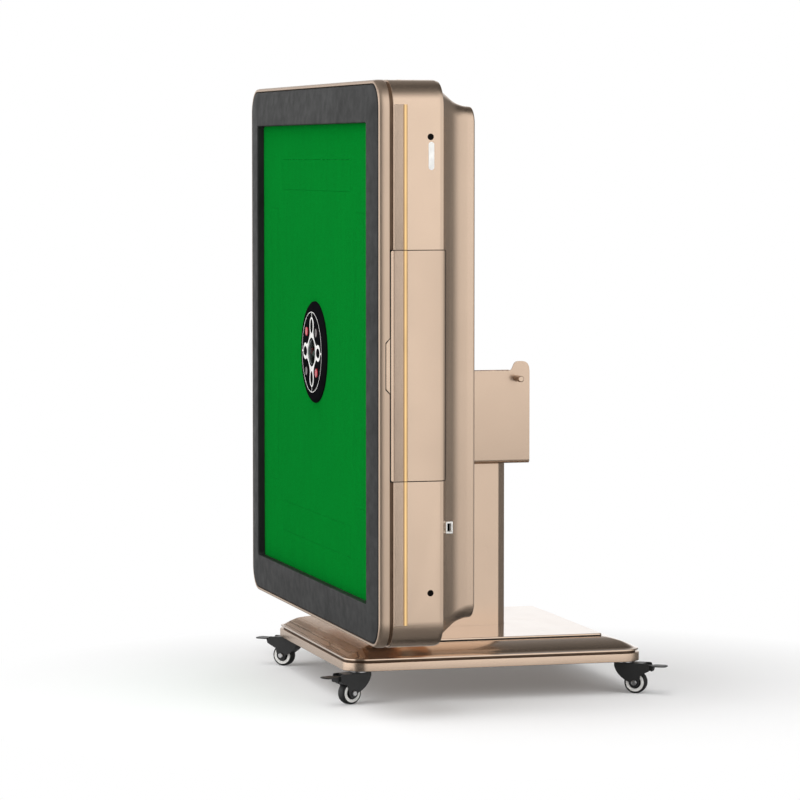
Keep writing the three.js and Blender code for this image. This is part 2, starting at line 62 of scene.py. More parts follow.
def node_box(node):
    """A CAD node's lowest and highest corners in millimetres."""
    low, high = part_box(node)
    return low / MM, high / MM


rim_low, rim_high = node_box("rim")
RIM_BOTTOM = -20.0
TABLE_HALF = (rim_high.x - rim_low.x) / 2
HEAD_CENTRE_Z = (rim_low.z + rim_high.z) / 2
FACE_Y = rim_high.y + RIM_BOTTOM
HEAD = Matrix.Translation(Vector((0, FACE_Y, HEAD_CENTRE_Z)) * MM) @ Matrix.Rotation(pi / 2, 4, "X")
STAND = Matrix.Identity(4)

TABLE_CORNER = 48.0
RIM_WALL = 6.7
GAP = 0.3
FRAME_BORDER = 65.0
FELT_LEVEL = -9.0
BAND_BOTTOM = -114.0
SHEET = 3.2
SHELL_BOTTOM = -181.0
NECK_FLOOR = -24.5
BAND_TOP = -25.0
STRIP_TOP = -27.0
STRIP_SPLIT = -43.0
STRIP_BOTTOM = -50.0
STRIP_DEPTH = 1.2
STRIP_HALF = 438.0
DRAWER_HALF = 194.0
DRAWER_GAP = 1.2
DRAWER_FACE = 10.0
DRAWER_TOP = -21.0
DRAWER_BOTTOM = -117.5
DRAWER_CORNER = 3.0
PULL_BASE = 49.0
PULL_TIP = 38.0
PULL_HEIGHT = 8.0
LOCK_OFFSET = 384.0
LOCK_LEVEL = -90.0
LOCK_RADIUS = 5.5
BADGE_OFFSET = 352.0
BADGE_LEVEL = -91.3
CONSOLE_RADIUS = 91.5
CONSOLE_TOP = FELT_LEVEL + 7
FACE_RADIUS = 73.5
DOME_RADIUS = 24.5
WELL_RADIUS = 78.0
BUTTON_RADIUS = 8.0
BUTTON_REACH = 36.0
BUTTONS = {"red_1": (-1, 1), "red_2": (1, -1), "dark_1": (1, 1), "dark_2": (-1, -1)}

tray_low, tray_high = node_box("base_tray")
BASE_HALF = ((tray_high.x - tray_low.x) / 2, (tray_high.y - tray_low.y) / 2)
BASE_CORNER = 38.0
PLATEAU_INSET = 60.0
TRAY_TOP = 73.0
TRAY_BOTTOM = 58.0
LIP_BOTTOM = 77.2
SLOPE_FOOT = 80.8
SLOPE_TOP = 98.3
PLATEAU_TOP = node_box("base_cover")[1].z
WHEEL_RADIUS = 20.0
WHEEL_HALF = 8.5


# ---- mesh helpers


def build(name, points, faces, matrix=STAND, smooth_angle=32):
    """A closed mesh object from points in millimetres, smooth but for edges past the angle."""
    mesh = bpy.data.meshes.new(name)
    mesh.from_pydata([matrix @ (Vector(point) * MM) for point in points], [], faces)
    obj = bpy.data.objects.new(name, mesh)
    bpy.context.scene.collection.objects.link(obj)
    tidy(obj, smooth_angle)
    return obj


def tidy(obj, smooth_angle=32):
    """Merges doubled points, turns the faces outwards and sets the smooth shading."""
    work = bmesh.new()
    work.from_mesh(obj.data)
    bmesh.ops.remove_doubles(work, verts=work.verts, dist=0.002 * MM)
    bmesh.ops.dissolve_degenerate(work, edges=work.edges, dist=0.001 * MM)
    bmesh.ops.recalc_face_normals(work, faces=work.faces)
    work.to_mesh(obj.data)
    work.free()
    obj.data.shade_smooth()
    obj.data.set_sharp_from_angle(angle=radians(smooth_angle))


def settle(obj):
    """Swaps an object's mesh for the one its modifiers make."""
    depsgraph = bpy.context.evaluated_depsgraph_get()
    mesh = bpy.data.meshes.new_from_object(obj.evaluated_get(depsgraph))
    obj.modifiers.clear()
    obj.data = mesh


def combine(obj, tools, operation, smooth_angle=32):
    """Cuts or joins the tools from the object, then removes them."""
    for tool in tools:
        modifier = obj.modifiers.new(operation, "BOOLEAN")
        modifier.operation = operation
        modifier.solver = "EXACT"
        modifier.object = tool
    settle(obj)
    for tool in tools:
        bpy.data.objects.remove(tool)
    tidy(obj, smooth_angle)
    return obj


def merged(name, parts):
    """One object that holds the meshes of several as separate solids."""
    points = []
    faces = []
    for part in parts:
        start = len(points)
        points += [vertex.co / MM for vertex in part.data.vertices]
        faces += [[start + index for index in face.vertices] for face in part.data.polygons]
        bpy.data.objects.remove(part)
    return build(name, points, faces)


def soften(corners, closed, steps=5):
    """A profile from (a, b) or (a, b, reach) corners: a corner with a reach is rounded off."""
    points = []
    count = len(corners)
    for i, corner in enumerate(corners):
        here = Vector(corner[:2])
        ends = i in (0, count - 1) and not closed
        if len(corner) == 2 or ends:
            points.append(tuple(here))
            continue
        before = Vector(corners[i - 1][:2])
        after = Vector(corners[(i + 1) % count][:2])
        start = here + (before - here).normalized() * corner[2]
        end = here + (after - here).normalized() * corner[2]
        for step in range(steps + 1):
            t = step / steps
            point = start * (1 - t) ** 2 + here * 2 * t * (1 - t) + end * t ** 2
            points.append(tuple(point))
    return points


def bend(start, control, end, steps):
    """Points on a quadratic curve."""
    start, control, end = Vector(start), Vector(control), Vector(end)
    points = []
    for step in range(steps + 1):
        t = step / steps
        points.append(tuple(start * (1 - t) ** 2 + control * 2 * t * (1 - t) + end * t ** 2))
    return points


def rounded_loop(half_x, half_y, radius, z, steps):
    """A rectangle with rounded corners, level at z."""
    loop = []
    for corner in range(4):
        sign_x = 1 if corner in (0, 3) else -1
        sign_y = 1 if corner < 2 else -1
        for step in range(steps + 1):
            angle = (corner + step / steps) * pi / 2
            x = sign_x * (half_x - radius) + radius * cos(angle)
            y = sign_y * (half_y - radius) + radius * sin(angle)
            loop.append((x, y, z))
    return loop


def loft(name, loops, ring, matrix, smooth_angle=32):
    """Skins a list of loops. A ring closes on its first loop; otherwise both ends are capped."""
    count = len(loops[0])
    faces = []
    for row in range(len(loops) if ring else len(loops) - 1):
        after = (row + 1) % len(loops)
        for i in range(count):
            j = (i + 1) % count
            faces.append((row * count + i, after * count + i, after * count + j, row * count + j))
    if not ring:
        last = (len(loops) - 1) * count
        faces.append(tuple(range(count)))
        faces.append(tuple(range(last, last + count)))
    points = [point for loop in loops for point in loop]
    return build(name, points, faces, matrix, smooth_angle)


def sweep(name, profile, half, corner, ring, matrix=STAND, least=6, steps=14):
    """Carries a profile of (inset, z) points round a rounded rectangle."""
    half_x, half_y = half
    loops = [
        rounded_loop(half_x - inset, half_y - inset, max(corner - inset, least), z, steps)
        for inset, z in profile
    ]
    return loft(name, loops, ring, matrix)


def turn(name, profile, matrix=STAND, ring=False, segments=72, smooth_angle=32):
    """A turned solid from (radius, z) points. Unless it is a ring, both ends lie on the axis."""
    angles = [2 * pi * i / segments for i in range(segments)]
    loops = [[(r * cos(a), r * sin(a), z) for a in angles] for r, z in profile]
    return loft(name, loops, ring, matrix, smooth_angle)


def block(low, high, matrix=STAND):
    """A plain box, used as a cutting tool."""
    corners = [(x, y, z) for x in (low[0], high[0]) for y in (low[1], high[1]) for z in (low[2], high[2])]
    faces = [(0, 1, 3, 2), (4, 6, 7, 5), (0, 4, 5, 1), (2, 3, 7, 6), (0, 2, 6, 4), (1, 5, 7, 3)]
    return build("tool", corners, faces, matrix)


def plate(name, outlines, bottom, top, matrix, edge=0.0):
    """A flat sheet cut to closed outlines in (x, y); an outline inside another is a hole."""
    curve = bpy.data.curves.new(name, "CURVE")
    curve.dimensions = "2D"
    curve.fill_mode = "BOTH"
    curve.extrude = (top - bottom) / 2 - edge
    curve.bevel_depth = edge
    curve.bevel_resolution = 2
    for outline in outlines:
        spline = curve.splines.new("POLY")
        spline.points.add(len(outline) - 1)
        for point, (x, y) in zip(spline.points, outline):
            point.co = (x, y, 0, 1)
        spline.use_cyclic_u = True
    source = bpy.data.objects.new(name, curve)
    bpy.context.scene.collection.objects.link(source)
    depsgraph = bpy.context.evaluated_depsgraph_get()
    mesh = bpy.data.meshes.new_from_object(source.evaluated_get(depsgraph))
    middle = (bottom + top) / 2
    points = [vertex.co + Vector((0, 0, middle)) for vertex in mesh.vertices]
    faces = [list(face.vertices) for face in mesh.polygons]
    bpy.data.objects.remove(source)
    return build(name, points, faces, matrix)


def circle(radius, x=0.0, y=0.0, steps=72):
    angles = [2 * pi * i / steps for i in range(steps)]
    return [(x + radius * cos(angle), y + radius * sin(angle)) for angle in angles]


def turned_side(side):
    """The head's matrix for a part drawn on the right side (towards +X)."""
    return HEAD @ Matrix.Rotation(radians(SIDES[side]), 4, "Z")


def face_of(side):
    """The matrix for parts drawn flat on a side: x along it, y up the depth, z outwards."""
    on_face = Matrix(((0, 0, 1, 0), (1, 0, 0, 0), (0, 1, 0, 0), (0, 0, 0, 1)))
    return turned_side(side) @ on_face


# ---- materials


class Finish:
    """A procedural material, with short calls for the nodes that it is built from."""

    def __init__(self, name, **inputs):
        self.material = bpy.data.materials.new(name)
        self.material.use_nodes = True
        self.tree = self.material.node_tree
        self.shader = self.tree.nodes["Principled BSDF"]
        coordinates = self.node("ShaderNodeTexCoord")
        self.place = coordinates.outputs["Object"]
        self.uv = coordinates.outputs["UV"]
        for key, value in inputs.items():
            self.set(key, value)

    def node(self, kind, **settings):
        node = self.tree.nodes.new(kind)
        for key, value in settings.items():
            setattr(node, key, value)
        return node

    def feed(self, value, socket):
        """Links an output to a socket, or sets a plain value on it."""
        if isinstance(value, bpy.types.NodeSocket):
            self.tree.links.new(value, socket)
        else:
            socket.default_value = value

    def set(self, key, value):
        """Feeds a shader input whose name is written with underscores."""
        names = {socket.name.replace(" ", "_").lower(): socket for socket in self.shader.inputs}
        if isinstance(value, tuple) and len(value) == 3:
            value = (*value, 1.0)
        self.feed(value, names[key])

    def noise(self, size, detail=3.0, place=None):
        """Noise whose features are about the given size in millimetres."""
        node = self.node("ShaderNodeTexNoise")
        node.inputs["Scale"].default_value = 1 / (size * MM)
        node.inputs["Detail"].default_value = detail
        self.feed(place or self.place, node.inputs["Vector"])
        return node.outputs["Fac"]

    def cells(self, size):
        """Voronoi distance whose cells are about the given size in millimetres."""
        node = self.node("ShaderNodeTexVoronoi")
        node.inputs["Scale"].default_value = 1 / (size * MM)
        self.feed(self.place, node.inputs["Vector"])
        return node.outputs["Distance"]

    def math(self, operation, a, b=0.0):
        node = self.node("ShaderNodeMath", operation=operation)
        self.feed(a, node.inputs[0])
        self.feed(b, node.inputs[1])
        return node.outputs[0]

    def range(self, value, low, high, start=0.3, end=0.7):
        """Maps a value from start..end to low..high."""
        node = self.node("ShaderNodeMapRange")
        for socket, number in zip(node.inputs[1:5], (start, end, low, high)):
            socket.default_value = number
        self.feed(value, node.inputs[0])
        return node.outputs[0]

    def ramp(self, factor, *stops):
        """Colours by (position, colour) stops."""
        node = self.node("ShaderNodeValToRGB")
        elements = node.color_ramp.elements
        while len(elements) < len(stops):
            elements.new(0.5)
        for element, (position, colour) in zip(elements, stops):
            element.position = position
            element.color = (*colour, 1.0)
        self.feed(factor, node.inputs["Fac"])
        return node.outputs["Color"]

    def mix(self, factor, a, b, blend_type="MIX"):
        node = self.node("ShaderNodeMix", data_type="RGBA", blend_type=blend_type)
        self.feed(factor, node.inputs[0])
        for value, socket in ((a, node.inputs[6]), (b, node.inputs[7])):
            self.feed((*value, 1.0) if isinstance(value, tuple) else value, socket)
        return node.outputs[2]

    def bump(self, height, depth, normal=None):
        """A bump of the given depth in millimetres, laid over an earlier one."""
        node = self.node("ShaderNodeBump")
        node.inputs["Distance"].default_value = depth * MM
        self.feed(height, node.inputs["Height"])
        if normal is not None:
            self.feed(normal, node.inputs["Normal"])
        return node.outputs["Normal"]


def scaled(colour, factor):
    return tuple(channel * factor for channel in colour)


CHAMPAGNE = (0.76, 0.575, 0.435)


def champagne(name, roughness, flake):
    """Satin metallic paint: fine flake, a faint orange peel and slow drifts of tone."""
    finish = Finish(name, metallic=0.92, coat_weight=0.15, coat_roughness=0.15)
    drift = finish.noise(160, 2.0)
    toned = finish.ramp(drift, (0.3, scaled(CHAMPAGNE, 0.965)), (0.7, scaled(CHAMPAGNE, 1.03)))
    speck = finish.noise(0.7, 2.0)
    sparkle = finish.ramp(speck, (0.25, scaled((1, 1, 1), 1 - flake)), (0.75, (1, 1, 1)))
    finish.set("base_color", finish.mix(1.0, toned, sparkle, "MULTIPLY"))
    rubbed = finish.range(finish.noise(70, 1.0), roughness - 0.012, roughness + 0.018, 0.2, 0.8)
    finish.set("roughness", rubbed)
    peel = finish.bump(finish.noise(6.0, 0.0), 0.003)
    finish.set("normal", finish.bump(speck, 0.0003, peel))
    return finish.material


def charcoal():
    """Matt moulded plastic with a fine leather grain, a little paler where it is rubbed."""
    finish = Finish("charcoal_plastic", specular_ior_level=0.2)
    rubbed = finish.noise(90, 4.0)
    toned = finish.ramp(rubbed, (0.3, (0.013, 0.013, 0.013)), (0.75, (0.024, 0.024, 0.024)))
    finish.set("base_color", toned)
    finish.set("roughness", finish.range(finish.noise(20, 3.0), 0.44, 0.56))
    grain = finish.bump(finish.cells(1.6), 0.05)
    finish.set("normal", finish.bump(finish.noise(0.6), 0.02, grain))
    return finish.material


def felt():
    """Short woollen nap: matted fibres, soft sheen and faint brushing marks."""
    finish = Finish("green_felt", roughness=0.95, specular_ior_level=0.0, sheen_weight=0.06)
    finish.set("sheen_roughness", 0.5)
    finish.set("sheen_tint", (0.1, 0.9, 0.25))
    stretched = finish.node("ShaderNodeMapping")
    stretched.inputs["Scale"].default_value = (1.0, 1.0, 0.16)
    finish.feed(finish.place, stretched.inputs["Vector"])
    fibre = finish.noise(1.3, 4.0)
    brushed = finish.noise(14, 4.0, stretched.outputs["Vector"])
    nap = finish.ramp(fibre, (0.3, (0.0, 0.125, 0.008)), (0.72, (0.0, 0.21, 0.022)))
    tone = finish.ramp(brushed, (0.25, (0.9, 0.9, 0.9)), (0.75, (1.0, 1.0, 1.0)))
    finish.set("base_color", finish.mix(1.0, nap, tone, "MULTIPLY"))
    rough = finish.bump(fibre, 0.25)
    finish.set("normal", finish.bump(finish.noise(0.5, 2.0), 0.08, rough))
    return finish.material


def moulded(name, colour, roughness, grain=1.2, depth=0.02, **inputs):
    """Moulded plastic or rubber: a fine grain, slow tone drift and uneven gloss."""
    finish = Finish(name, **inputs)
    drift = finish.noise(22, 4.0)
    toned = finish.ramp(drift, (0.3, scaled(colour, 0.85)), (0.7, scaled(colour, 1.12)))
    finish.set("base_color", toned)
    finish.set("roughness", finish.range(finish.noise(9, 4.0), roughness - 0.05, roughness + 0.06))
    finish.set("normal", finish.bump(finish.noise(grain), depth))
    return finish.material


def brushed_steel():
    finish = Finish("bright_steel", metallic=1.0)
    stretched = finish.node("ShaderNodeMapping")
    stretched.inputs["Scale"].default_value = (0.08, 1.0, 1.0)
    finish.feed(finish.place, stretched.inputs["Vector"])
    streak = finish.noise(0.8, 4.0, stretched.outputs["Vector"])
    finish.set("base_color", finish.ramp(streak, (0.3, (0.52, 0.52, 0.53)), (0.7, (0.66, 0.65, 0.64))))
    finish.set("roughness", finish.range(streak, 0.2, 0.36))
    finish.set("normal", finish.bump(streak, 0.004))
    return finish.material


def hatched():
    """Pressed trim: crossing diagonal ridges that leave small sunk diamonds, with painted shade that darkens
    the diamonds.
    """
    finish = Finish("hatched_trim", metallic=0.8, roughness=0.42)
    split = finish.node("ShaderNodeSeparateXYZ")
    finish.feed(finish.uv, split.inputs[0])
    pitch = 2.4
    lines = []
    for operation in ("ADD", "SUBTRACT"):
        diagonal = finish.math(operation, split.outputs["X"], split.outputs["Y"])
        wave = finish.math("SINE", finish.math("MULTIPLY", diagonal, 2 * pi / pitch))
        lines.append(finish.math("ABSOLUTE", wave))
    ridge = finish.math("MULTIPLY", *lines)
    # Painted shade: the sunk diamonds are coloured darker than the raised ridges.
    toned = finish.ramp(ridge, (0.0, (0.88, 0.69, 0.54)), (0.75, (0.60, 0.44, 0.33)))
    drift = finish.ramp(finish.noise(60, 3.0), (0.3, (0.92, 0.92, 0.92)), (0.7, (1.0, 1.0, 1.0)))
    finish.set("base_color", finish.mix(1.0, toned, drift, "MULTIPLY"))
    finish.set("normal", finish.bump(finish.math("SUBTRACT", 1.0, ridge), 0.12))
    return finish.material


def amber_light(width):
    """A lit strip: pale yellow down the middle, amber at its edges, uneven along its length."""
    finish = Finish("amber_light", roughness=0.35, base_color=(0.30, 0.19, 0.09))
    split = finish.node("ShaderNodeSeparateXYZ")
    finish.feed(finish.uv, split.inputs[0])
    across = finish.math("DIVIDE", split.outputs["Y"], width)
    glow = finish.ramp(
        across,
        (0.0, (0.30, 0.17, 0.08)), (0.22, (0.40, 0.23, 0.10)), (0.36, (0.86, 0.58, 0.22)),
        (0.66, (0.88, 0.62, 0.26)), (0.78, (0.24, 0.12, 0.04)), (1.0, (0.08, 0.035, 0.01)))
    finish.set("emission_color", glow)
    finish.set("emission_strength", finish.range(finish.noise(70, 2.0), 0.62, 0.78))
    finish.set("normal", finish.bump(finish.noise(2.0), 0.03))
    return finish.material


def clear_dome():
    finish = Finish("smoked_dome", base_color=(0.25, 0.30, 0.28), transmission_weight=1.0, ior=1.08)
    finish.set("roughness", finish.range(finish.noise(6, 3.0), 0.01, 0.05))
    finish.set("normal", finish.bump(finish.noise(14, 1.0), 0.01))
    return finish.material


def plateau_gloss():
    """The base cover: the same paint as the stand, polished on its flat top."""
    finish = Finish("polished_cover", metallic=0.92, coat_weight=1.0, coat_roughness=0.04)
    drift = finish.noise(160, 2.0)
    toned = finish.ramp(drift, (0.3, scaled(CHAMPAGNE, 0.96)), (0.7, scaled(CHAMPAGNE, 1.03)))
    finish.set("base_color", toned)
    finish.set("roughness", finish.range(finish.noise(40, 2.0), 0.15, 0.21))
    finish.set("normal", finish.bump(finish.noise(0.7, 2.0), 0.001))
    return finish.material


FINISHES = {
    "metal_trim": champagne("champagne_trim", 0.21, 0.05),
    "rim": champagne("champagne_rim", 0.38, 0.05),
    "shell_paint": champagne("champagne_shell", 0.24, 0.06),
    "stand_paint": champagne("champagne_stand", 0.25, 0.07),
    "charcoal": charcoal(),
    "felt": felt(),
    "console_black": moulded("gloss_black", (0.005, 0.005, 0.006), 0.12, specular_ior_level=0.0),
    "console_print": moulded("white_print", (0.78, 0.77, 0.75), 0.3),
    "dome": clear_dome(),
    "red_button": moulded("red_key", (0.52, 0.018, 0.035), 0.2, coat_weight=0.6),
    "dark_button": moulded("dark_key", (0.03, 0.012, 0.014), 0.18, coat_weight=0.6),
    "black_plastic": moulded("black_plastic", (0.018, 0.018, 0.018), 0.4, depth=0.04),
    "white_plastic": moulded("white_plastic", (0.80, 0.79, 0.76), 0.42),
    "steel": brushed_steel(),
    "pad_rubber": moulded("pad_rubber", (0.016, 0.016, 0.016), 0.75, depth=0.08),
    "tyre": moulded("tyre_rubber", (0.013, 0.013, 0.013), 0.5, depth=0.06),
    "light": amber_light(STRIP_SPLIT - STRIP_BOTTOM),
    "pattern": hatched(),
    "cover": plateau_gloss(),
    # Painted shade: a dark bronze for the gap under the rim and the gap between plinth and shroud.
    "painted_gap_shade": moulded("bronze_groove", (0.12, 0.07, 0.04), 0.35, metallic=0.5),
    # Black of the lock screws, and painted shade in the gaps round the drawers and under the plateau's edge.
    "recess": moulded("screw_black", (0.007, 0.005, 0.004), 0.5, specular_ior_level=0.1),
}


def finish_as(piece, slot, body, *nodes, look=None):
    """Gives a piece its material, from its look or else its slot, puts it on its body and hides the CAD
    nodes it stands for.
    """
    piece.data.materials.clear()
    piece.data.materials.append(FINISHES[look or slot])
    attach(piece, body)
    if nodes:
        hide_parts(*nodes)
    return piece


# ---- head: frame, rim, band and shell

HEAD_HALF = (TABLE_HALF, TABLE_HALF)


def playing_frame():
    """The charcoal frame round the felt, with a soft crown."""
    half = TABLE_HALF - RIM_WALL - GAP
    seat = FELT_LEVEL + GAP
    profile = soften([
        (0, RIM_BOTTOM), (16, RIM_BOTTOM), (16, seat), (FRAME_BORDER, seat),
        (FRAME_BORDER, 4.35, 3.4), (1.4, 0.1, 3.0), (0, -4.0, 2.0),
    ], True)
    piece = sweep("playing_frame", profile, (half, half), TABLE_CORNER - RIM_WALL, True, HEAD)
    finish_as(piece, "charcoal", "head", "top_frame")


def pull_outline(clearance):
    """The tapered finger pull over a drawer, in x along the side and y up the depth."""
    low = DRAWER_TOP - 1
    high = DRAWER_TOP + PULL_HEIGHT + clearance
    return [
        (-PULL_BASE - clearance, low), (PULL_BASE + clearance, low),
        (PULL_TIP + clearance, high), (-PULL_TIP - clearance, high),
    ]


def rim_moulding():
    """The metal rim, rounded over its edge and notched for the four pulls."""
    outside = bend((0, -10.5), (0.4, -0.9), (4.4, -0.9), 12)
    profile = soften([
        (RIM_WALL, RIM_BOTTOM), (0, RIM_BOTTOM, 3.0), *outside, (RIM_WALL - 0.4, -0.9, 1.0),
        (RIM_WALL, -2.4),
    ], True)
    ring = sweep("rim_moulding", profile, HEAD_HALF, TABLE_CORNER, True, HEAD)
    notches = [
        plate("tool", [pull_outline(1.5)], TABLE_HALF - RIM_WALL - 1, TABLE_HALF + 1, face_of(side))
        for side in SIDES
    ]
    combine(ring, notches, "DIFFERENCE")
    finish_as(ring, "metal_trim", "head", "rim", look="rim")


def strip_recess(side, half_length):
    """The tool for the shallow channel that holds the hatched and the light strip."""
    low = (TABLE_HALF - STRIP_DEPTH, -half_length, STRIP_BOTTOM)
    return block(low, (TABLE_HALF + 1, half_length, STRIP_TOP), turned_side(side))


def drawer_windows():
    """The tools that open a ring for the four drawer fronts."""
    wide = DRAWER_HALF + DRAWER_GAP
    low = (TABLE_HALF - DRAWER_FACE - 0.6, -wide, BAND_BOTTOM - 1)
    return [block(low, (TABLE_HALF + 1, wide, RIM_BOTTOM), turned_side(side)) for side in SIDES]


def neck_trim():
    """A thin dark bronze ring in the gap between the rim and the band: painted shade for the gap."""
    top = RIM_BOTTOM - 0.5
    profile = [(3.2, top), (3.2, NECK_FLOOR), (3.95, NECK_FLOOR), (3.95, top)]
    ring = sweep("neck_trim", profile, HEAD_HALF, TABLE_CORNER, True, HEAD)
    combine(ring, drawer_windows(), "DIFFERENCE")
    finish_as(ring, "metal_trim", "head", look="painted_gap_shade")


def band_casing():
    """The band of the four sides, open for the drawers, strips and lock screws."""
    low = BAND_BOTTOM
    top = RIM_BOTTOM - GAP
    profile = soften([
        (4, top), (4, NECK_FLOOR, 0.8), (0, BAND_TOP, 0.8), (0, low + 7.5, 1.2), (2.1, low + 0.8, 0.5),
        (3.4, low, 0.5), (26, low), (26, low + SHEET),
        (7, low + SHEET, 3.0), (SHEET, low + 9), (SHEET, -29), (7.2, -28), (7.2, top - SHEET),
        (26, top - SHEET), (26, top),
    ], True)
    ring = sweep("band_casing", profile, HEAD_HALF, TABLE_CORNER, True, HEAD)
    tools = drawer_windows()
    for side in SIDES:
        tools.append(strip_recess(side, STRIP_HALF))
        for y in (-LOCK_OFFSET, LOCK_OFFSET):
            hole = circle(LOCK_RADIUS, y, LOCK_LEVEL, 32)
            tools.append(plate("tool", [hole], TABLE_HALF - 5, TABLE_HALF + 1, face_of(side)))
    combine(ring, tools, "DIFFERENCE")
    finish_as(ring, "metal_trim", "head", "side_band")


def shell_casing():
    """The back casing: it flares in from the band to a flat rear panel."""
    rear = SHELL_BOTTOM
    outside = (
        bend((50, rear), (44.6, rear), (44.2, rear + 5), 8)
        + bend((43.5, -168), (40, -149), (30, -136), 14)
        + [(15.2, -117.1), (13.6, -116.2), (13, BAND_BOTTOM - GAP)])
    inside = (
        [(13 + SHEET, BAND_BOTTOM - GAP), (13 + SHEET, -115)]
        + bend((33.2, -136), (43.2, -149), (46.7, -168), 8)
        + bend((47.4, rear + 8), (47.8, rear + SHEET), (72, rear + SHEET), 8))
    casing = sweep("shell_casing", outside + inside, HEAD_HALF, 52, False, HEAD, least=26)
    port_low, port_high = node_box("service_port")
    inlet_low, inlet_high = node_box("power_inlet")
    room = Vector((GAP, GAP, GAP))
    tools = [
        block(port_low - room, port_high + room + Vector((30, 0, 0))),
        block(
            (inlet_low.x + 11 - GAP, inlet_high.y - 8, inlet_low.z + 3.5 - GAP),
            (inlet_high.x - 11 + GAP, inlet_high.y + 5, inlet_high.z - 3.5 + GAP)),
    ]
    combine(casing, tools, "DIFFERENCE")
    finish_as(casing, "shell_paint", "head", "back_shell")


playing_frame()
rim_moulding()
neck_trim()
band_casing()
shell_casing()

# ---- head: trim on the sides


def mapped(obj, side):
    """Lays a UV map in millimetres on a strip: x along the side, y across the strip's depth."""
    back = face_of(side).inverted()
    layer = obj.data.uv_layers.new(name="along")
    for loop in obj.data.loops:
        place = (back @ obj.data.vertices[loop.vertex_index].co) / MM
        layer.data[loop.index].uv = (place.x, place.y - STRIP_BOTTOM)
    return obj


def strip(name, side, spans, low, high, proud):
    """Bars with eased edges that lie in the recess, over each (start, end) span along a side."""
    sunk = TABLE_HALF - STRIP_DEPTH + 0.05
    bars = []
    for start, end in spans:
        outline = [(start, low), (end, low), (end, high), (start, high)]
        bars.append(plate(name, [outline], sunk, TABLE_HALF - STRIP_DEPTH + proud, face_of(side), 0.15))
    return mapped(merged(name, bars), side)


def side_trim(side):
    """The hatched and the light strip, split so that a drawer carries its own length."""
    inner = DRAWER_HALF + DRAWER_GAP + 0.2
    band_spans = [(-STRIP_HALF + 0.2, -inner), (inner, STRIP_HALF - 0.2)]
    drawer_spans = [(0.2 - DRAWER_HALF, DRAWER_HALF - 0.2)]
    drawer = f"drawer_{side}"
    for place, body, spans in (("band", "head", band_spans), ("drawer", drawer, drawer_spans)):
        hatch = strip(f"hatch_{place}_{side}", side, spans, STRIP_SPLIT + 0.2, STRIP_TOP - 0.2, 0.7)
        finish_as(hatch, "pattern", body)
        light = strip(f"light_{place}_{side}", side, spans, STRIP_BOTTOM + 0.2, STRIP_SPLIT - 0.2, 1.1)
        finish_as(light, "light", body)
        # The glow is too weak to show in the paint of the base.
        light.visible_glossy = False


def drawer_outline(margin):
    """A drawer front's outline, in x along the side and y up the depth."""
    half = DRAWER_HALF + margin
    deep = (DRAWER_TOP - DRAWER_BOTTOM) / 2
    middle = (DRAWER_TOP + DRAWER_BOTTOM) / 2
    loop = rounded_loop(half, deep + margin, DRAWER_CORNER + margin, 0, 6)
    return [(x, y + middle) for x, y, z in loop]


def drawer_front_shade(side):
    """A thin black strip round the edge of a drawer front and of its pull: painted shade in the gaps."""
    outlines = [drawer_outline(1.0), drawer_outline(-0.6)]
    front_shade = plate("edge", outlines, TABLE_HALF - DRAWER_FACE + 0.4, TABLE_HALF - 0.6, face_of(side))
    face = turned_side(side)
    wedge = [
        (1, BAND_BOTTOM + 7.5), (-0.6, BAND_BOTTOM + 7.5), (-2.7, BAND_BOTTOM + 0.8),
        (-6.9, DRAWER_BOTTOM - 2), (1, DRAWER_BOTTOM - 2),
    ]
    along = Matrix(((1, 0, 0, 0), (0, 0, -1, 0), (0, 1, 0, 0), (0, 0, 0, 1)))
    outline = [(TABLE_HALF + x, z) for x, z in wedge]
    undercut = plate("tool", [outline], -DRAWER_HALF - 4, DRAWER_HALF + 4, face @ along)
    combine(front_shade, [undercut], "DIFFERENCE")
    outer = pull_outline(1.15)
    inner = pull_outline(0.1)
    border = [outer[0], outer[3], outer[2], outer[1], inner[1], inner[2], inner[3], inner[0]]
    pull = plate("pull_edge", [border], TABLE_HALF - 5.3, TABLE_HALF - 1.9, face_of(side))
    drawer_shades = merged(f"drawer_seal_{side}", [front_shade, pull])
    finish_as(drawer_shades, "black_plastic", f"drawer_{side}", look="recess")


def lock_screws(side):
    """Two cam screws, each with a raised lip and a hexagon socket, sunk in the band's holes."""
    screws = []
    for offset in (-LOCK_OFFSET, LOCK_OFFSET):
        seat = TABLE_HALF - 4.9
        place = face_of(side) @ Matrix.Translation(Vector((offset, LOCK_LEVEL, 0)) * MM)
        screw = turn("screw", soften([
            (0, seat), (LOCK_RADIUS - 0.3, seat), (LOCK_RADIUS - 0.3, seat + 3.2, 0.7),
            (LOCK_RADIUS - 1.5, seat + 3.2, 0.4), (LOCK_RADIUS - 2.0, seat + 2.2), (0, seat + 2.2),
        ], False, 3), place, segments=32)
        socket = [(2.4 * cos(k * pi / 3), 2.4 * sin(k * pi / 3)) for k in range(6)]
        combine(screw, [plate("tool", [socket], seat + 0.8, seat + 4, place)], "DIFFERENCE")
        screws.append(screw)
    finish_as(merged(f"lock_screws_{side}", screws), "dark_button", "head", look="recess")


def capsule(x, y, half_length, radius, steps=12):
    """A stadium outline with its length along x."""
    outline = []
    for sign, start in ((1, -pi / 2), (-1, pi / 2)):
        centre = x + sign * (half_length - radius)
        for step in range(steps + 1):
            angle = start + pi * step / steps
            outline.append((centre + radius * cos(angle), y + radius * sin(angle)))
    return outline


def blank_badge():
    """A plain white badge beside the far lock screw of the right side."""
    outline = capsule(BADGE_OFFSET, BADGE_LEVEL, 23.4, 4.7)
    label = plate("blank_badge", [outline], TABLE_HALF, TABLE_HALF + 0.6, face_of("right"), 0.2)
    finish_as(label, "white_plastic", "head")


for side_name in SIDES:
    side_trim(side_name)
    drawer_front_shade(side_name)
    lock_screws(side_name)
blank_badge()

# ---- head: centre console


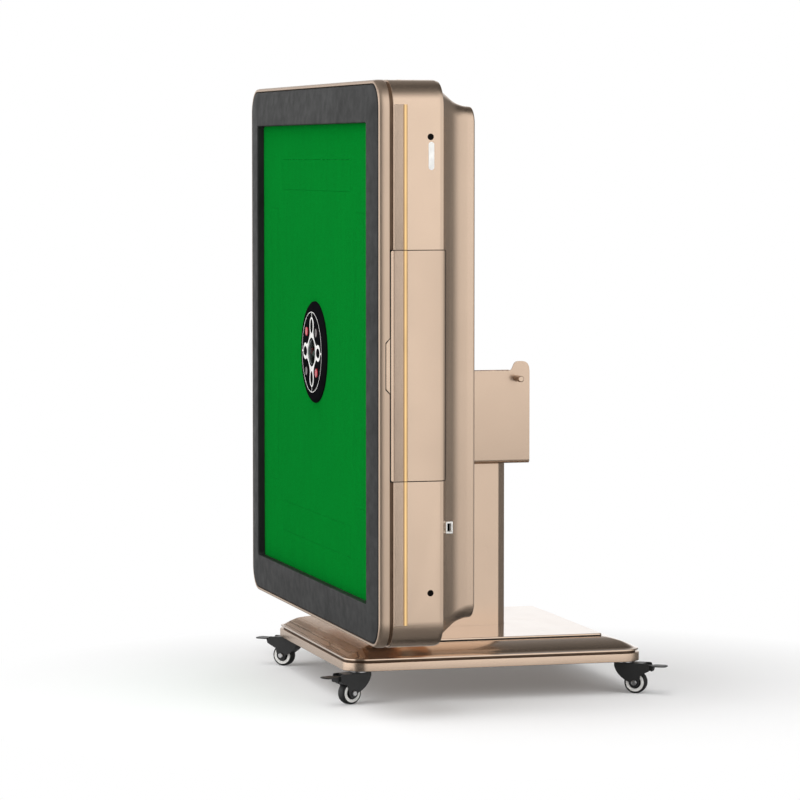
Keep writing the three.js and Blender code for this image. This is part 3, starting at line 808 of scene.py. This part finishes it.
def console_disc():
    """The console's black body, with pockets for the dice well and the buttons."""
    rest = FELT_LEVEL + GAP
    disc = turn("console_disc", soften([
        (0, -95), (25, -95), (25, -14), (WELL_RADIUS - 4, -14), (WELL_RADIUS - 2, -12),
        (WELL_RADIUS - 2, rest), (CONSOLE_RADIUS, rest), (CONSOLE_RADIUS, rest + 2.0, 1.2),
        (CONSOLE_RADIUS - 6, CONSOLE_TOP - 0.4, 3.0), (FACE_RADIUS + 1, CONSOLE_TOP),
        (FACE_RADIUS + 0.5, -4.4), (0, -4.4),
    ], False), HEAD, segments=120)
    pockets = [plate("tool", [circle(DOME_RADIUS - 2.5)], -12, 0, HEAD)]
    for sign_x, sign_y in BUTTONS.values():
        hole = circle(BUTTON_RADIUS + 0.6, sign_x * BUTTON_REACH, sign_y * BUTTON_REACH, 32)
        pockets.append(plate("tool", [hole], -9.2, 0, HEAD))
    combine(disc, pockets, "DIFFERENCE")
    finish_as(disc, "console_black", "console", "console_body")


def button_holes(clearance):
    return [
        circle(BUTTON_RADIUS + clearance, sign_x * BUTTON_REACH, sign_y * BUTTON_REACH, 40)
        for sign_x, sign_y in BUTTONS.values()
    ]


def console_plate():
    outlines = [circle(FACE_RADIUS, steps=120), circle(DOME_RADIUS + 0.4)] + button_holes(0.4)
    top = plate("console_plate", outlines, -4.1, CONSOLE_TOP + 0.1, HEAD, 0.15)
    finish_as(top, "console_black", "console", "console_face")


PRINT_LEVEL = CONSOLE_TOP + 0.12
PETAL_CENTRE = 47.0
PETAL_LONG = 16.0
PETAL_WIDE = 15.0
OVAL_LONG = 13.0
OVAL_WIDE = 8.8


def petal_outline():
    """Four rounded petals joined by hollow curves, from one eighth of the outline mirrored."""
    diagonal = 21.5
    last = radians(115)
    eighth = []
    for step in range(10):
        angle = last * step / 9
        eighth.append((PETAL_CENTRE + PETAL_LONG * cos(angle), PETAL_WIDE * sin(angle)))
    eighth += bend(eighth[-1], (32.7, 10.3), (diagonal, diagonal), 8)[1:]
    quarter = eighth + [(y, x) for x, y in reversed(eighth[1:-1])]
    outline = []
    for turns in range(4):
        c, s = (1, 0, -1, 0)[turns], (0, 1, 0, -1)[turns]
        outline += [(x * c - y * s, x * s + y * c) for x, y in quarter]
    return outline


def oval(centre, long_half, wide_half, turns):
    c, s = (1, 0, -1, 0)[turns], (0, 1, 0, -1)[turns]
    points = []
    for i in range(40):
        x = centre + long_half * cos(2 * pi * i / 40)
        y = wide_half * sin(2 * pi * i / 40)
        points.append((x * c - y * s, x * s + y * c))
    return points


def console_print():
    """The printed rose, the ring with its four spokes and two dots, all barely raised."""
    low = PRINT_LEVEL
    ovals = [oval(PETAL_CENTRE, OVAL_LONG, OVAL_WIDE, turns) for turns in range(4)]
    outlines = [petal_outline(), circle(DOME_RADIUS + 1.6)] + ovals
    rose = plate("rose", outlines, low, low + 0.35, HEAD, 0.1)
    ring = plate("ring", [circle(72.6, steps=120), circle(71.4, steps=120)], low, low + 0.2, HEAD)
    parts = [rose, ring]
    for turns in range(4):
        place = HEAD @ Matrix.Rotation(turns * pi / 2, 4, "Z")
        spoke = [(63.3, -1.0), (71.2, -1.0), (71.2, 1.0), (63.3, 1.0)]
        parts.append(plate("spoke", [spoke], low, low + 0.2, place))
    for x in (-68.3, 68.3):
        parts.append(plate("dot", [circle(2.3, x, 0, 24)], low + 0.25, low + 0.7, HEAD, 0.15))
    finish_as(merged("console_rose", parts), "console_print", "console")


def oval_windows():
    """Domed dark windows in the petals."""
    low = PRINT_LEVEL
    crown = ((1, 0), (0.985, 0.5), (0.94, 0.8), (0.8, 1.05), (0.55, 1.2), (0.25, 1.27), (0.02, 1.28))
    domes = []
    for turns in range(4):
        loops = []
        for share, height in crown:
            outline = oval(PETAL_CENTRE, (OVAL_LONG - 0.4) * share, (OVAL_WIDE - 0.4) * share, turns)
            loops.append([(x, y, low + height) for x, y in outline])
        domes.append(loft("dome", loops, False, HEAD))
    finish_as(merged("petal_windows", domes), "console_black", "console")


def dome_cap():
    inner = bend((0, 1.4), (DOME_RADIUS * 0.8, 1.4), (DOME_RADIUS - 1.6, -4.1), 12)
    outer = bend((DOME_RADIUS, -4.1), (DOME_RADIUS * 0.86, 3.1), (0, 3.0), 14)
    dome = turn("dome_cap", inner + outer, HEAD, segments=64)
    finish_as(dome, "dome", "console", "dice_dome")


def die(name, x, y, spin, size=9.5):
    """A rounded die with hollow pips."""
    half = size / 2
    place = HEAD @ Matrix.Translation(Vector((x, y, -11.9 + half)) * MM) @ Matrix.Rotation(spin, 4, "Z")
    core = half - 0.1
    profile = soften([(core, -half), (0, -half, 1.6), (0, half, 1.6), (core, half)], False)
    body = sweep(name, profile, (half, half), 2.2, False, place, least=0.1)
    reach = 0.26 * size
    tools = []
    for px, py in ((0, 0), (reach, reach), (-reach, -reach), (reach, -reach), (-reach, reach)):
        pip = turn("pip", [(0, -0.9), (0.8, -0.4), (1.0, 0.4), (0, 0.5)], segments=14)
        pip.data.transform(place @ Matrix.Translation(Vector((px, py, half)) * MM))
        tools.append(pip)
    combine(body, tools, "DIFFERENCE")
    return body


def key(name, sign_x, sign_y):
    """A push button with a dished top."""
    place = HEAD @ Matrix.Translation(Vector((sign_x * BUTTON_REACH, sign_y * BUTTON_REACH, 0)) * MM)
    top = -0.2
    radius = BUTTON_RADIUS
    cap = turn(f"key_{name}", soften([
        (0, top - 6.3), (radius, top - 6.3), (radius, top, 1.3), (radius - 2.2, top, 0.8),
        (radius - 4, top - 0.5), (0, top - 0.7),
    ], False), place, segments=40)
    slot = "red_button" if name.startswith("red") else "dark_button"
    finish_as(cap, slot, f"button_{name}", f"button_{name}")


console_disc()
console_plate()
console_print()
oval_windows()
dome_cap()
finish_as(die("die_red", -9.5, 1.5, 0.5), "red_button", "console")
finish_as(die("die_white", 9.0, -2.5, 1.1), "white_plastic", "console")
for key_name, (key_x, key_y) in BUTTONS.items():
    key(key_name, key_x, key_y)

# ---- stand: base


def base_plinth():
    """The flat tray that the casters are fixed under."""
    profile = soften([
        (2.5, TRAY_TOP), (0, TRAY_TOP, 1.6), (0, TRAY_BOTTOM, 1.0), (3, TRAY_BOTTOM, 0.6),
        (3, TRAY_TOP - 3),
    ], False)
    tray = sweep("base_plinth", profile, BASE_HALF, BASE_CORNER, False)
    finish_as(tray, "stand_paint", "stand", "base_tray")


def caster_pads():
    pads = []
    for caster in CASTERS:
        low, high = node_box(f"caster_stem_{caster}")
        centre = (low + high) / 2
        place = Matrix.Translation(Vector((centre.x, centre.y, 0)) * MM)
        profile = soften([(0, 58.6), (22, 58.6, 1.0), (22, 69.9), (0, 69.9)], False)
        pads.append(turn("pad", profile, place, segments=48))
    finish_as(merged("caster_pads", pads), "steel", "stand")


def base_shroud():
    """The base cover: a rounded slope up to a flat plateau, with a hole for the column."""
    top = PLATEAU_TOP
    step = soften([
        (PLATEAU_INSET + 3, top), (PLATEAU_INSET, top, 1.4), (PLATEAU_INSET, SLOPE_TOP + 0.3, 0.8),
        (PLATEAU_INSET - 1.5, SLOPE_TOP + 0.1),
    ], False)
    slope = bend((PLATEAU_INSET - 2, SLOPE_TOP), (31, 94.4), (8, SLOPE_FOOT), 14)
    lip = soften([(8, SLOPE_FOOT), (3, 80.0), (1.5, 79.8, 1.0), (1.5, LIP_BOTTOM)], False)[1:-1]
    inside = [
        (1.5, LIP_BOTTOM), (8, LIP_BOTTOM), (8, TRAY_TOP + GAP), (10.5, TRAY_TOP + GAP), (10.5, 78),
        (PLATEAU_INSET + 1.5, 95.5), (PLATEAU_INSET + 3.5, top - 2.7),
    ]
    cover = sweep("base_shroud", step + slope + lip + inside, BASE_HALF, BASE_CORNER, False)
    low, high = node_box("column")
    chamfer = 16.0
    x, y = high.x + 0.6, high.y + 0.6
    hole = [
        (x, y - chamfer), (x - chamfer, y), (chamfer - x, y), (-x, y - chamfer),
        (-x, chamfer - y), (chamfer - x, -y), (x - chamfer, -y), (x, chamfer - y),
    ]
    combine(cover, [plate("tool", [hole], 90, 110, STAND)], "DIFFERENCE")
    finish_as(cover, "stand_paint", "stand", "base_cover", look="cover")


def base_shade_strips():
    """Dark strips that paint the shade in the gaps of the base: between plinth and shroud, and under the
    plateau's edge.
    """
    low, high = TRAY_TOP + 0.4, LIP_BOTTOM - 0.1
    gap = [(6.6, low), (6.6, high), (7.9, high), (7.9, low)]
    lip_shade = sweep("base_liner", gap, BASE_HALF, BASE_CORNER, True)
    finish_as(lip_shade, "stand_paint", "stand", look="painted_gap_shade")
    low, high = SLOPE_TOP + 0.15, SLOPE_TOP + 2.1
    outer, inner = PLATEAU_INSET - 0.15, PLATEAU_INSET + 0.45
    band = [(outer, low), (outer, high), (inner, high), (inner, low)]
    edge_shade = sweep("plateau_reveal", band, BASE_HALF, BASE_CORNER, True)
    finish_as(edge_shade, "stand_paint", "stand", look="recess")


base_plinth()
caster_pads()
base_shroud()
base_shade_strips()

# ---- stand: casters


def caster_place(caster):
    """The matrix of a caster's own frame, with its wheel trailing along x."""
    stem_low, stem_high = node_box(f"caster_stem_{caster}")
    wheel_low, wheel_high = node_box(f"caster_wheel_{caster}")
    stem = (stem_low + stem_high) / 2
    trail = (wheel_low + wheel_high) / 2 - stem
    spot = Matrix.Translation(Vector((stem.x, stem.y, 0)) * MM)
    return spot @ Matrix.Rotation(atan2(trail.y, trail.x), 4, "Z"), Vector((trail.x, trail.y)).length


def caster_wheel(caster):
    place, trail = caster_place(caster)
    hub = place @ Matrix.Translation(Vector((trail, 0, WHEEL_RADIUS)) * MM) @ Matrix.Rotation(pi / 2, 4, "X")
    half = WHEEL_HALF
    tyre = turn(f"tyre_{caster}", soften([
        (11.0, -half + 2), (11.0, -half + 0.8), (16.8, -half, 0.5), (WHEEL_RADIUS, -half, 3.6),
        (WHEEL_RADIUS, half, 3.6), (16.8, half, 0.5), (11.0, half - 0.8), (11.0, half - 2),
    ], True), hub, ring=True)
    finish_as(tyre, "tyre", f"wheel_{caster}", f"caster_wheel_{caster}")
    rings = []
    for sign in (-1, 1):
        rings.append(turn("ring", soften([
            (10.9, sign * (half - 0.6)), (16.4, sign * (half - 0.2)), (16.2, sign * (half + 0.7), 0.6),
            (11.1, sign * (half + 0.5), 0.6),
        ], True), hub, ring=True))
    finish_as(merged(f"wheel_rings_{caster}", rings), "white_plastic", f"wheel_{caster}")
    core = turn(f"wheel_core_{caster}", soften([
        (3.4, -half + 0.2), (5.6, -half + 0.2, 0.5), (6.4, 3.4 - half), (10.8, 3.0 - half),
        (10.8, half - 3.0), (6.4, half - 3.4), (5.6, half - 0.2, 0.5), (3.4, half - 0.2),
    ], True), hub, ring=True, segments=48)
    finish_as(core, "black_plastic", f"wheel_{caster}")


for caster_name in CASTERS:
    caster_wheel(caster_name)

# ---- CAD pieces that stay: eased edges and finished materials


def refine(node, slot, width):
    """Closes the mesh up, rounds its sharp edges and gives it the finished material."""
    obj = frame["nodes"][node]
    normals = obj.data.attributes.get("custom_normal")
    if normals is not None:
        obj.data.attributes.remove(normals)
    obj.data.shade_smooth()
    weld = obj.modifiers.new("weld", "WELD")
    weld.merge_threshold = 0.01 * MM
    flat = obj.modifiers.new("flat", "DECIMATE")
    flat.decimate_type = "DISSOLVE"
    flat.angle_limit = radians(1)
    ease = obj.modifiers.new("ease", "BEVEL")
    ease.width = width * MM
    ease.segments = 2
    ease.angle_limit = radians(40)
    ease.harden_normals = True
    obj.data.materials.clear()
    obj.data.materials.append(FINISHES[slot])


EDGE_WIDTHS = {"yoke": 0.9, "column": 1.6, "felt_board": 0.05, "rest_pad": 2.0}
LEFT_SOFT = {"tile_lift": 0.05, "drawer": 0.8, "brake_pedal": 0.5, "caster_fork": 0.7}

for row in frame["record"]["subparts"]:
    node_name = row["node"]
    family = node_name.split("_right")[0].split("_left")[0].split("_back")[0].split("_front")[0]
    edge_width = EDGE_WIDTHS.get(node_name, LEFT_SOFT.get(family, 0.5))
    refine(node_name, row["material_slot"], edge_width)

# ---- stage: camera, world, lights and floor

CAMERA_PLACE = (6.4303, -1.842, 0.9515)
CAMERA_HEADING = 164.88
CAMERA_DIP = 3.768
CAMERA_LENS = 165.7
FLOOR_SHADE_CENTRE = (0.15, -0.02, 0.0)


def camera():
    """The camera, aimed by its heading and its dip below level."""
    data = bpy.data.cameras.new("camera")
    data.lens = CAMERA_LENS
    data.sensor_width = 36
    obj = bpy.data.objects.new("camera", data)
    obj.location = CAMERA_PLACE
    obj.rotation_euler = (radians(90 - CAMERA_DIP), 0, radians(CAMERA_HEADING - 90))
    bpy.context.scene.collection.objects.link(obj)
    bpy.context.scene.camera = obj


def studio():
    """Soft boxes drawn in the world: bright round the horizon, dim overhead, with dark gaps."""
    world = bpy.data.worlds.new("studio")
    bpy.context.scene.world = world
    world.use_nodes = True
    tree = world.node_tree
    tree.nodes.clear()

    def node(kind, **settings):
        made = tree.nodes.new(kind)
        for name, value in settings.items():
            setattr(made, name, value)
        return made

    def grey_ramp(factor, stops):
        ramp = node("ShaderNodeValToRGB")
        elements = ramp.color_ramp.elements
        while len(elements) < len(stops):
            elements.new(0.5)
        for element, (position, grey) in zip(elements, stops):
            element.position = position
            element.color = (grey, grey, grey, 1)
        tree.links.new(factor, ramp.inputs["Fac"])
        return ramp.outputs["Color"]

    direction = node("ShaderNodeTexCoord")
    split = node("ShaderNodeSeparateXYZ")
    tree.links.new(direction.outputs["Generated"], split.inputs[0])
    heading = node("ShaderNodeMath", operation="ARCTAN2")
    tree.links.new(split.outputs["Y"], heading.inputs[0])
    tree.links.new(split.outputs["X"], heading.inputs[1])
    share = node("ShaderNodeMapRange")
    share.inputs["From Min"].default_value = -pi
    share.inputs["From Max"].default_value = pi
    tree.links.new(heading.outputs[0], share.inputs["Value"])
    headings = (
        (-180, 0.62), (-165, 0.48), (-150, 0.5), (-134, 0.92), (-98, 1.0), (-66, 0.9),
        (-52, 0.08), (-10, 0.05), (8, 0.86), (28, 0.8), (44, 0.68), (62, 0.66),
        (78, 0.32), (92, 0.13), (134, 0.12), (152, 0.7), (166, 0.86), (180, 0.62))
    stops = [((angle + 180) / 360, grey) for angle, grey in headings]
    around = grey_ramp(share.outputs["Result"], stops)
    lift = node("ShaderNodeMapRange")
    lift.inputs["From Min"].default_value = -1
    tree.links.new(split.outputs["Z"], lift.inputs["Value"])
    below = ((-1, 0.1), (-0.6, 0.14), (-0.3, 0.45), (-0.13, 0.84), (0, 1.0))
    far_heights = (*below, (0.1, 1.0), (0.35, 0.8), (0.5, 0.22), (0.85, 0.08), (1, 0.05))
    near_heights = (*below, (0.64, 1.0), (0.82, 0.45), (0.93, 0.1), (1, 0.05))
    far, near = [
        grey_ramp(lift.outputs["Result"], [((z + 1) / 2, grey) for z, grey in heights])
        for heights in (far_heights, near_heights)
    ]
    facing = node("ShaderNodeMapRange")
    facing.inputs["From Min"].default_value = -0.15
    facing.inputs["From Max"].default_value = 0.15
    tree.links.new(split.outputs["X"], facing.inputs["Value"])
    upward = node("ShaderNodeMix", data_type="RGBA")
    tree.links.new(facing.outputs["Result"], upward.inputs[0])
    tree.links.new(far, upward.inputs[6])
    tree.links.new(near, upward.inputs[7])
    product = node("ShaderNodeMix", data_type="RGBA", blend_type="MULTIPLY")
    product.inputs[0].default_value = 1.0
    tree.links.new(around, product.inputs[6])
    tree.links.new(upward.outputs[2], product.inputs[7])
    soft = node("ShaderNodeBackground")
    soft.inputs["Strength"].default_value = 1.32
    tree.links.new(product.outputs[2], soft.inputs["Color"])
    white = node("ShaderNodeBackground")
    white.inputs["Color"].default_value = (1, 1, 1, 1)
    path = node("ShaderNodeLightPath")
    pick = node("ShaderNodeMixShader")
    tree.links.new(path.outputs["Is Camera Ray"], pick.inputs["Fac"])
    tree.links.new(soft.outputs[0], pick.inputs[1])
    tree.links.new(white.outputs[0], pick.inputs[2])
    output = node("ShaderNodeOutputWorld")
    tree.links.new(pick.outputs[0], output.inputs["Surface"])


def lamp(name, heading, height, distance, size, power):
    """A square soft light aimed at the middle of the table, left out of reflections."""
    data = bpy.data.lights.new(name, "AREA")
    data.energy = power
    data.size = size
    obj = bpy.data.objects.new(name, data)
    flat = distance * cos(radians(height))
    rise = distance * sin(radians(height))
    place = Vector((flat * cos(radians(heading)), flat * sin(radians(heading)), rise))
    target = Vector((0, 0, 0.5))
    obj.location = place + target
    obj.rotation_euler = (-place).to_track_quat("-Z", "Y").to_euler()
    obj.visible_glossy = False
    bpy.context.scene.collection.objects.link(obj)


def floor():
    """A round pale floor that fades into the white background away from the object."""
    disc = turn("floor", [(0, -20), (9000, -20), (9000, 0), (0, 0)], segments=96)
    finish = Finish("floor", roughness=0.7, specular_ior_level=0.1)
    mottled = finish.noise(400, 3.0)
    pale = finish.ramp(mottled, (0.3, (0.895, 0.895, 0.895)), (0.7, (0.91, 0.91, 0.91)))
    finish.set("base_color", pale)
    distance = finish.node("ShaderNodeVectorMath", operation="DISTANCE")
    finish.feed(finish.place, distance.inputs[0])
    finish.feed(FLOOR_SHADE_CENTRE, distance.inputs[1])
    # Painted light: a white glow mixed into the floor lifts its shadow a little near the base and more with
    # distance, until the floor matches the background.
    white = finish.node("ShaderNodeEmission")
    fade = finish.range(distance.outputs["Value"], 0.11, 1.0, 0.44, 0.95)
    mixer = finish.node("ShaderNodeMixShader")
    finish.feed(fade, mixer.inputs[0])
    finish.feed(finish.shader.outputs[0], mixer.inputs[1])
    finish.feed(white.outputs[0], mixer.inputs[2])
    output = finish.tree.nodes["Material Output"]
    finish.feed(mixer.outputs[0], output.inputs["Surface"])
    disc.data.materials.append(finish.material)
    # Upright panels reflect the dark lower half of the world, not the glowing floor.
    disc.visible_glossy = False


camera()
studio()
lamp("overhead", -60, 72, 4.0, 4.5, 165)
lamp("front_fill", -70, 25, 4.5, 3.0, 60)
lamp("side_fill", 20, 30, 4.5, 3.0, 40)
floor()
bpy.context.scene.view_settings.view_transform = "Standard"
